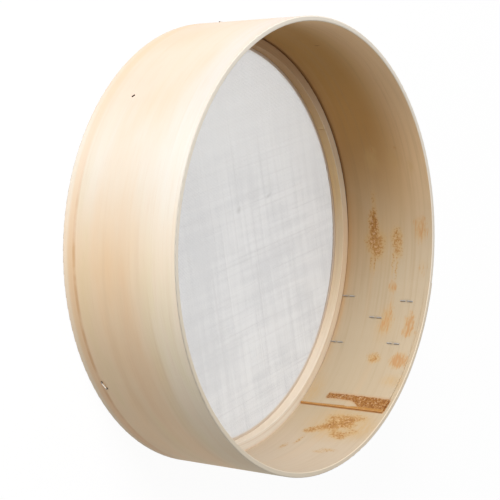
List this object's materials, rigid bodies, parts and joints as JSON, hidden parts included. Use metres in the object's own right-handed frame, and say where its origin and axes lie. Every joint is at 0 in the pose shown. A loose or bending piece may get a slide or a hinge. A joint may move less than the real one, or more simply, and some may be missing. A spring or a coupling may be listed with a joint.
{
  "type": "flour sieve",
  "caption": "Round flour sieve: a tall lapped and stapled bent-wood hoop with a wire cloth stretched under a narrow inner ring near its back edge.",
  "frame": {"origin": "middle of the hoop's back edge, on the surface that the sieve stands on", "axes": "+Z along the hoop's axis, from the back edge up to the open rim; +X is the direction that is down in the picture, and the picture's camera is on the -Y side"},
  "size_m": [0.4005, 0.4, 0.118],
  "materials": {
    "hoop_wood": "bare planed bentwood, pale cream with soft grain bands, water stains inside",
    "ring_wood": "bare planed bentwood, a little darker than the hoop",
    "cloth_wire": "fine plain-woven steel wire, dull",
    "staple_wire": "dull galvanised wire, greyed"
  },
  "bodies": {
    "root": {"main_hoop": "hoop_wood", "inner_ring": "ring_wood", "warp_wires": "cloth_wire", "weft_wires": "cloth_wire", "lap_staples": "staple_wire", "ring_staples": "staple_wire"}
  },
  "joints": []
}
